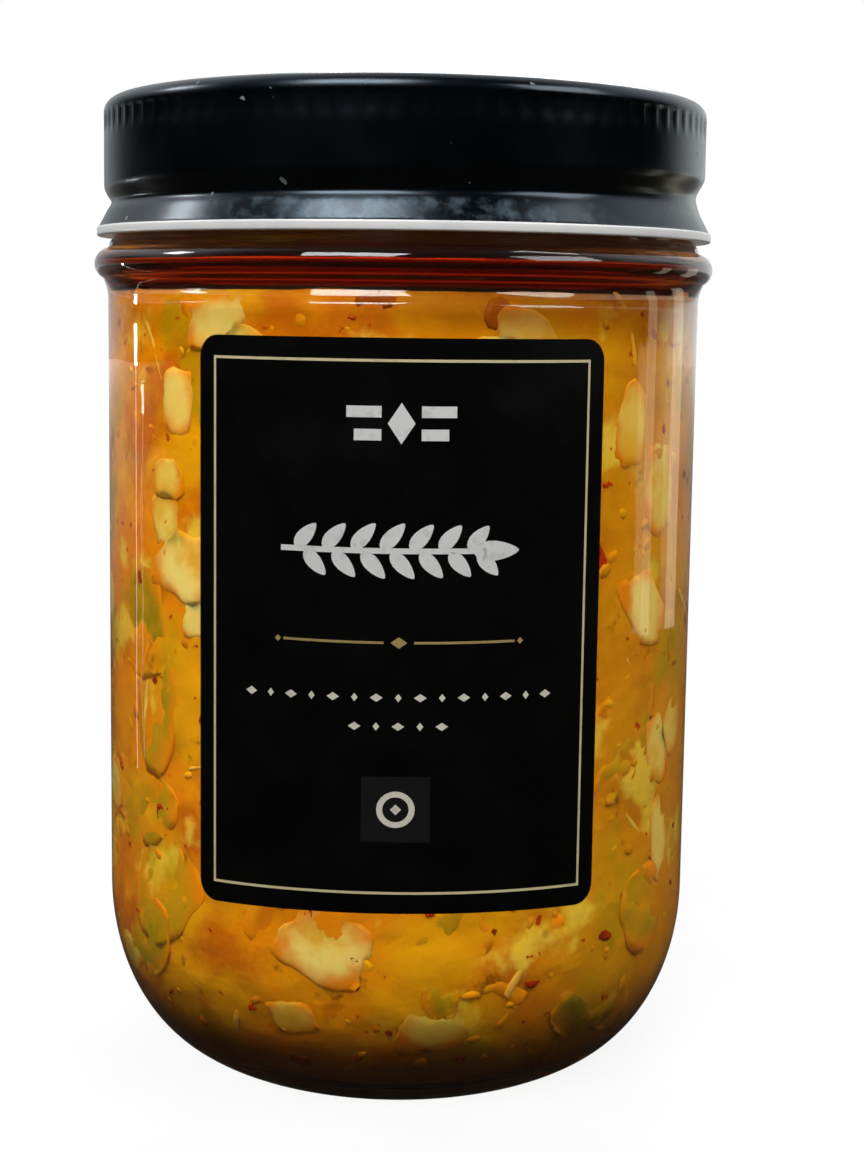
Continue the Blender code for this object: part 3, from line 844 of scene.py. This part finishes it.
# The bits in the paste, in millimetres. "seeded" is how many, width and tall; "gap" is how far back
# from the glass a face may lie; "depth" is how far in a bit's middle lies; "rim" is from where to
# where the orange of the paste comes in; "grain" is stretch, scale, detail, strength and depth.
bitKinds = {
    "stem": {
        "piece": "cabbageStems", "finish": "stemFlesh", "seeded": (22, 8.0, 7.0),
        "gap": (0.08, 0.22), "thick": 4.6, "depth": 1.7, "soft": 0.7,
        "tones": ((0.84, 0.66, 0.28), (0.74, 0.43, 0.06)), "rim": (0.95, 1.60),
        "spots": [((0.72, 0.36, 0.02), 130.0, 0.42, 0.68, 0.9, 5.0, 0.4)],
        "grain": (0.22, 1500.0, 3.0, 0.3, 0.2),
    },
    "leaf": {
        "piece": "cabbageLeaves", "finish": "leafFlesh", "seeded": (18, 6.5, 9.0),
        "gap": (0.10, 0.30), "thick": 0.5, "depth": 0.75,
        "tones": ((0.48, 0.29, 0.004), (0.13, 0.095, 0.003)), "rim": (1.05, 1.90),
        "spots": [((0.56, 0.27, 0.006), 150.0, 0.38, 0.62, 0.9, 5.0, 0.8)],
        "grain": (0.22, 1500.0, 3.0, 0.6, 0.2),
    },
    "fibre": {
        "piece": "paleFibres", "finish": "fibreFlesh", "seeded": (80, 1.1, 9.0),
        "gap": (0.10, 0.40), "thick": 0.9, "depth": 0.6,
        "tones": ((0.84, 0.62, 0.24), (0.76, 0.36, 0.04)),
        "spots": [((0.70, 0.28, 0.02), 240.0, 0.46, 0.66, 0.9)],
        "grain": (0.22, 1500.0, 3.0, 0.4, 0.2),
    },
    "shred": {
        "piece": "carrotShreds", "finish": "carrotFlesh", "seeded": (90, 5.0, 2.2),
        "gap": (0.15, 0.60), "thick": 2.6, "depth": 1.1,
        "tones": ((0.68, 0.20, 0.002), (0.42, 0.12, 0.002)), "rim": (0.60, 1.40),
        "spots": [((0.74, 0.31, 0.004), 220.0, 0.42, 0.64, 0.8)],
        "grain": (0.22, 1500.0, 3.0, 0.5, 0.2),
    },
    "chilli": {
        "piece": "chilliFlakes", "finish": "chilliSkin", "seeded": (150, 1.2, 1.0),
        "gap": (0.10, 0.35), "thick": 0.35, "depth": 0.45, "roughness": 0.25,
        "tones": ((0.50, 0.022, 0.004), (0.22, 0.020, 0.003)), "spots": [],
        "grain": (1.0, 1300.0, 2.0, 0.5, 0.15),
    },
    "pulp": {
        "piece": "pulpBits", "finish": "pulp", "seeded": (1500, 2.6, 1.8),
        "gap": (0.15, 0.65), "thick": 1.7, "depth": 0.8,
        "tones": ((0.74, 0.220, 0.001), (0.80, 0.38, 0.006)),
        "spots": [((0.50, 0.13, 0.001), 90.0, 0.44, 0.66, 0.8, 4.0, 0.2)],
        "grain": (1.0, 1200.0, 3.0, 0.5, 0.2),
    },
}
# Bits that can be told apart through the glass: angle, height, width, tall, turn and tone.
# Millimetres and degrees; the tone goes from 0 to 1, between the two in bitKinds.
shownBits = {
    "stem": (
        (-36, 111, 11, 7, 12, 0.15), (-29, 108, 7, 5, -20, 0.45), (23, 110, 10, 7, -18, 0.55),
        (30, 106.5, 7, 6, 25, 0.7), (-46, 100, 7, 10, 8, 0.5), (-43, 77, 13, 11, -15, 0.2),
        (-50, 83, 7, 8, 10, 0.45), (-40, 70, 8, 6, 12, 0.4), (54, 71, 9, 12, 20, 0.35),
        (58, 88, 8, 14, 5, 0.6), (48, 97, 7, 12, -8, 0.75), (60, 50, 7, 12, 5, 0.5),
        (62, 36, 6, 15, 12, 0.4), (-13, 26.5, 13.5, 10.5, -12, 0), (8, 15.5, 9, 8, 12, 0.6),
        (-20, 16, 7, 5, 10, 0.8)),
    "leaf": (
        (-57, 68, 9, 16, 20, 0.45), (-53, 56, 7, 20, -10, 0.3), (-51, 29, 11, 17, -20, 0.1),
        (-58, 22, 10, 12, 10, 0.3), (50, 55, 10, 14, 15, 0.45), (46, 48, 6, 9, -25, 0.35),
        (10, 28, 8, 9, -8, 0.05), (9, 21, 4, 9, 10, 0.5), (43, 15, 13, 11, -35, 0.9),
        (33, 11, 8, 5, -55, 0.7)),
    "fibre": (
        (-60, 66, 1.6, 20, 8, 0.3), (-55, 60, 1.4, 17, -14, 0.4), (-50, 64, 1.2, 12, 35, 0.4),
        (46, 46, 2, 13, -12, 0.3), (60, 33, 2.2, 18, 13, 0.1), (52, 60, 1.4, 14, 30, 0.5),
        (3, 26, 1.6, 11, 20, 0.7), (26, 24, 1.4, 12, -35, 0.8)),
    "shred": (
        (-12, 19, 8, 5, 25, 0.8), (-26, 30, 9, 5, 70, 0.1), (-33, 26, 8, 5, 60, 0),
        (42, 57, 3, 9, -35, 1), (22, 20, 6, 3.5, -35, 0.4), (30, 27, 7, 4, 35, 0.3),
        (-50, 92, 7, 4, 40, 0.3), (-40, 47, 8, 4, 50, 0.2)),
    "chilli": (
        (39.5, 79, 2.4, 5, 18, 0.3), (42, 33, 3.4, 2.2, -25, 0.4), (-51, 41, 2.8, 2.4, 10, 0.5),
        (-5, 114, 4.5, 3, 20, 0.9), (17, 112.5, 3.2, 4.6, 10, 0.9), (-22, 9.8, 5, 2.4, -20, 0.8),
        (27, 21, 1.8, 2.2, 0, 0.7), (44, 25, 2, 1.6, 0, 0.8), (-35, 104, 1.6, 1.4, 0, 0.7),
        (14, 10.5, 1.6, 1.4, 0, 0.8)),
}


def onGlass(angle, height, depth):
    radius = insideAt(height) - depth
    around = math.radians(angle)
    return Vector((radius * math.sin(around), -radius * math.cos(around), height))


def putOnGlass(bm, verts, angle, height, turn, depth, gap):
    # A flat drawing (x across, y up, z outwards) against the glass, pressed flat where they meet
    place = (Matrix.Rotation(math.radians(angle), 4, "Z")
             @ Matrix.Translation((0.0, depth - insideAt(height), height))
             @ Matrix.Rotation(math.radians(90.0), 4, "X")
             @ Matrix.Rotation(math.radians(turn), 4, "Z"))
    bmesh.ops.transform(bm, matrix=place, verts=verts)
    for vert in verts:
        vert.co.z = max(vert.co.z, insideFloor + 1.6 * mm)
        room = insideAt(vert.co.z) - gap
        radius = math.hypot(vert.co.x, vert.co.y)
        if radius > room:
            vert.co.x *= room / radius
            vert.co.y *= room / radius


def setShade(bm, verts, value, width, tall):
    # A tone for each bit, and how near its rim a point is; their materials read both
    shade, rim = bm.verts.layers.float["shade"], bm.verts.layers.float["rim"]
    for vert in verts:
        vert[shade] = value
        vert[rim] = 2 * math.hypot(vert.co.x / max(width, 1e-6), vert.co.y / max(tall, 1e-6))


def relief(point, size, seed, octaves=3):
    return noise.fractal(point / size + Vector((seed, -seed, 2.3 * seed)), 1.0, 2.0, octaves)


def pasteDepth(angle, height):
    # How far the paste lies back from the glass
    spot = onGlass(angle, height, 0.0)
    lumps = 0.75 * relief(spot, 7 * mm, 3.1) + 0.55 * relief(spot, 2.6 * mm, 8.7)
    return max(0.08 * mm, kimchi["pasteGap"] + kimchi["pasteRelief"] * lumps)


def buildPaste():
    floor, top, rows = kimchi["floor"], kimchi["top"], kimchi["pasteRows"]
    points = [(0.0, floor), (10 * mm, floor), (18 * mm, floor)]
    for index in range(rows):
        height = floor + (top - floor) * index / (rows - 1)
        points.append((insideAt(height), height))
    for radius in (38, 36, 33, 29, 24, 18, 12, 6, 0):
        points.append((radius * mm, top + 0.3 * mm))
    bm = spinProfile(points, kimchi["pasteSteps"])
    for vert in bm.verts:
        x, y, z = vert.co
        radius = math.hypot(x, y)
        if radius > 1 * mm and radius > insideAt(z) - 0.3 * mm and z < top + 0.1 * mm:
            angle = math.degrees(math.atan2(x, -y))
            share = 1 - pasteDepth(angle, z) / radius
            vert.co.x *= share
            vert.co.y *= share
        elif z > top:
            vert.co.z += kimchi["topRelief"] * relief(vert.co.copy(), 8 * mm, 5.5)
    paste = finishPiece("kimchiPaste", bm, [makePaste()])
    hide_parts("kimchi")


def makePaste():
    finish, tree, shader, place = newFinish("kimchiPaste", {"Roughness": 0.5,
                                                            "Specular IOR Level": 0.05})
    colour = layerSpots(tree, place, kimchi["orange"], pasteLayers)
    colour = layerSpots(tree, place, rightTone(tree, place, colour), pasteTopLayers)
    # The paste's colour gets painted shade along the top and towards the foot
    setInputs(tree, shader, {"Base Color": paintShadeTopAndFoot(tree, place, colour),
                             "Normal": addGrain(tree, place, 900.0, 4.0, 0.45, 0.25 * mm)})
    return finish


def addStem(bm, width, tall, thick, rng):
    # A cut block of white cabbage stem with softened edges
    made = bmesh.ops.create_icosphere(bm, subdivisions=4, radius=0.5)
    lean = rng.uniform(-0.35, 0.35)
    taper = rng.uniform(-0.35, 0.35)
    seed = rng.uniform(0, 40)
    for vert in made["verts"]:
        point = vert.co.copy()
        point /= (max(abs(point.x), abs(point.y), abs(point.z)) * 2) ** 0.5
        point *= 1.0 + 0.28 * relief(point, 0.60, seed, 4)
        point.x += lean * point.y
        point.x *= 1.0 + taper * point.y
        vert.co = Vector((point.x * width, point.y * tall, point.z * thick))
    return made["verts"]


def addSheet(bm, width, tall, thick, segments, outline, wave, rng):
    # A thin wavy plate with both faces; outline gives the half width at a share of the height
    made = bmesh.ops.create_grid(bm, x_segments=segments[0], y_segments=segments[1], size=0.5)
    faces = list({face for vert in made["verts"] for face in vert.link_faces})
    seed = rng.uniform(0, 40)
    for vert in made["verts"]:
        share = vert.co.y
        ragged = 1.0 + 0.30 * relief(Vector((seed, share * 3.0, 0.0)), 1.0, seed, 2)
        x = vert.co.x * outline(share) * ragged
        bend = 0.12 * math.sin(3.0 * share + seed)
        z = wave * relief(Vector((x * 2.2, share * 2.2, seed)), 1.0, seed, 3)
        vert.co = Vector(((x + bend) * width, share * tall, z))
    raised = bmesh.ops.extrude_face_region(bm, geom=faces, use_keep_orig=True)
    top = [item for item in raised["geom"] if isinstance(item, bmesh.types.BMVert)]
    for vert in top:
        vert.co.z += thick
    return made["verts"] + top


def addLeaf(bm, width, tall, thick, rng):
    return addSheet(bm, width, tall, thick, (9, 12),
                    lambda share: 1.25 * math.sqrt(max(0.03, 1 - 3.6 * share * share)),
                    1.3 * mm, rng)


def addChilli(bm, width, tall, thick, rng):
    return addSheet(bm, width, tall, thick, (4, 5), lambda share: 1.15 - 2.4 * share * share,
                    0.5 * mm, rng)


def addFibre(bm, width, tall, thick, rng):
    # A long bit, straight or a little bent, with rounded ends
    made = bmesh.ops.create_uvsphere(bm, u_segments=8, v_segments=9, radius=0.5)
    bend = rng.uniform(-0.25, 0.25) * tall
    seed = rng.uniform(0, 40)
    for vert in made["verts"]:
        along = vert.co.z
        fuller = 1 / math.sqrt(max(0.12, 1 - 3.4 * along * along))
        swell = fuller * (1 + 0.35 * relief(vert.co.copy(), 0.5, seed, 2))
        vert.co = Vector((vert.co.x * swell * width + bend * (0.25 - along * along),
                          along * tall, vert.co.y * swell * thick))
    return made["verts"]


def addShred(bm, width, tall, thick, rng):
    # Like a fibre, but lying
    verts = addFibre(bm, tall, width, thick, rng)
    placeFlat(bm, verts, (0.0, 0.0), 90)
    return verts


def addPulp(bm, width, tall, thick, rng):
    made = bmesh.ops.create_icosphere(bm, subdivisions=2, radius=0.5)
    seed = rng.uniform(0, 40)
    for vert in made["verts"]:
        lump = 1 + 0.5 * relief(vert.co.copy(), 0.7, seed, 2)
        vert.co = Vector((vert.co.x * width * lump, vert.co.y * tall * lump, vert.co.z * thick))
    return made["verts"]


bitShapes = {"stem": addStem, "leaf": addLeaf, "fibre": addFibre, "shred": addShred,
             "chilli": addChilli, "pulp": addPulp}


def allBits(rng):
    # The shown bits, then seeded ones all round that keep off the big shown ones
    bits = [(kind, angle, height * mm, width * mm, tall * mm, turn, tone)
            for kind, shown in shownBits.items()
            for angle, height, width, tall, turn, tone in shown]
    large = [onGlass(angle, height, 0.0) for kind, angle, height, *_ in bits
             if kind in ("stem", "leaf")]
    for kind, values in bitKinds.items():
        count, width, tall = values["seeded"]
        clear = 0.0 if kind == "chilli" else 6.0 * mm
        for _ in range(count):
            angle = rng.uniform(-180, 180)
            height = rng.uniform(kimchi["floor"] + 2.5 * mm, kimchi["top"] - 1.0 * mm)
            grow = rng.uniform(0.6, 1.35)
            turn = rng.uniform(-80, 80)
            tone = rng.random()
            if kind == "pulp" and rng.random() < 0.5:
                clear = 3.5 * mm    # from the first such draw on
            spot = onGlass(angle, height, 0.0)
            if all((spot - other).length > clear for other in large):
                bits.append((kind, angle, height, width * grow * mm, tall * grow * mm, turn, tone))
    return bits


def buildBits():
    # Each kind is one mesh, joined from small batches because that is much quicker
    rng = random.Random(kimchi["seed"])
    meshes = {kind: [] for kind in bitKinds}
    for kind, angle, height, width, tall, turn, tone in allBits(rng):
        if not meshes[kind] or len(meshes[kind][-1].verts) > 3000:
            meshes[kind].append(bmesh.new())
            for layerName in ("shade", "rim"):
                meshes[kind][-1].verts.layers.float.new(layerName)
        bm, values = meshes[kind][-1], bitKinds[kind]
        verts = bitShapes[kind](bm, width, tall, values["thick"] * mm, rng)
        setShade(bm, verts, tone, width, tall)
        gap = rng.uniform(*values["gap"]) * mm
        putOnGlass(bm, verts, angle, height, turn, values["depth"] * mm + gap, gap)
    for kind, batches in meshes.items():
        whole = batches[0]
        for batch in batches[1:]:
            passing = bpy.data.meshes.new("batch")
            batch.to_mesh(passing)
            batch.free()
            whole.from_mesh(passing)
            bpy.data.meshes.remove(passing)
        piece = finishPiece(bitKinds[kind]["piece"], whole, [makeFlesh(kind)])
        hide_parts("kimchi")


def makeFlesh(kind):
    # Wet food whose tone comes from each bit's shade
    values = bitKinds[kind]
    finish, tree, shader, place = newFinish(values["finish"], {
        "Roughness": values.get("roughness", 0.45), "Specular IOR Level": 0.05,
        "Subsurface Weight": values.get("soft", 0.0), "Subsurface Radius": (1.0, 0.6, 0.25),
        "Subsurface Scale": 1.8 * mm})
    shade = addNode(tree, "Attribute", attribute_name="shade").outputs["Fac"]
    colour = layerSpots(tree, place, mixColours(tree, shade, *values["tones"]), values["spots"])
    if "rim" in values:
        colour = stainRims(tree, place, colour, *values["rim"])
    if kind == "pulp":
        colour = rightTone(tree, place, colour)
    stretch, scale, detail, strength, depth = values["grain"]
    along = addNode(tree, "Mapping", {"Vector": place, "Scale": (1.0, 1.0, stretch)})
    # The colour gets painted shade along the top and towards the foot
    setInputs(tree, shader, {
        "Base Color": paintShadeTopAndFoot(tree, place, colour),
        "Normal": addGrain(tree, along.outputs[0], scale, detail, strength, depth * mm)})
    return finish


def stainRims(tree, place, colour, low, high):
    # The rims take up the orange of the paste
    rim = addNode(tree, "Attribute", attribute_name="rim").outputs["Fac"]
    cloud = addNode(tree, "TexNoise", {"Vector": place, "Scale": 260.0, "Detail": 4.0})
    ragged = mathNode(tree, "ADD", rim, mathNode(tree, "MULTIPLY", cloud.outputs["Fac"], 0.9))
    return mixColours(tree, addRamp(tree, ragged, low, high), colour, kimchi["orange"])


def rightTone(tree, place, colour):
    # Browner on the right
    angle, _ = jarPlace(tree, place)
    return mixColours(tree, addRamp(tree, angle, 8.0, 46.0, 0.55), colour, kimchi["right"])


def paintShadeTopAndFoot(tree, place, colour):
    # Painted shade: browner along the top under the lid, most on the right, and darker towards the
    # foot
    angle, height = jarPlace(tree, place)
    right = mathNode(tree, "ADD", addRamp(tree, angle, -22.0, 12.0, 0.6), 0.4)
    high = mathNode(tree, "MULTIPLY", addRamp(tree, height, 106.0, 113.0, 0.8), right)
    colour = mixColours(tree, high, colour, kimchi["topShade"])
    low = mathNode(tree, "SUBTRACT", 1.0, addRamp(tree, height, 5.5, 19.0))
    return mixColours(tree, low, colour, kimchi["footShade"])


def makeBrine():
    # Clear amber brine: pale in a thin film, dark red-brown across the neck
    finish, tree, shader, _ = newFinish("brine", {
        "Base Color": kimchi["brineFilm"], "Roughness": 0.0, "IOR": 1.35,
        "Transmission Weight": 1.0})
    letLampsThrough(tree, shader, studio["white"])
    stain = addNode(tree, "VolumeAbsorption", {
        "Color": kimchi["brineDepth"], "Density": kimchi["brineDensity"]})
    tree.links.new(stain.outputs[0], tree.nodes["Material Output"].inputs["Volume"])
    return finish


def buildBrine():
    grow, mouth, top = kimchi["brineInWall"], jar["mouth"], kimchi["brineTop"]
    points = insidePoints(grow) + [(mouth + grow, top - 0.6 * mm)]
    points += [(mouth - 0.5 * mm, top - 0.15 * mm), (mouth - 1.6 * mm, top), (0.0, top)]
    bm = spinProfile(points, jar["steps"])
    finishPiece("brine", bm, [makeBrine()], 60)


# Everything in order

stages = {
    "camera, light and floor": [addCamera, addWorld, addLights, addFloor],
    "glass jar": [buildGlass],
    "screw lid": [buildLid],
    "label": [buildLabel, buildFrameLine, buildOrnaments],
    "kimchi": [buildPaste, buildBits, buildBrine],
}
view = bpy.context.scene.view_settings
view.view_transform = "Standard"
view.look = "None"
for stage, steps in stages.items():
    print(stage)
    for step in steps:
        step()
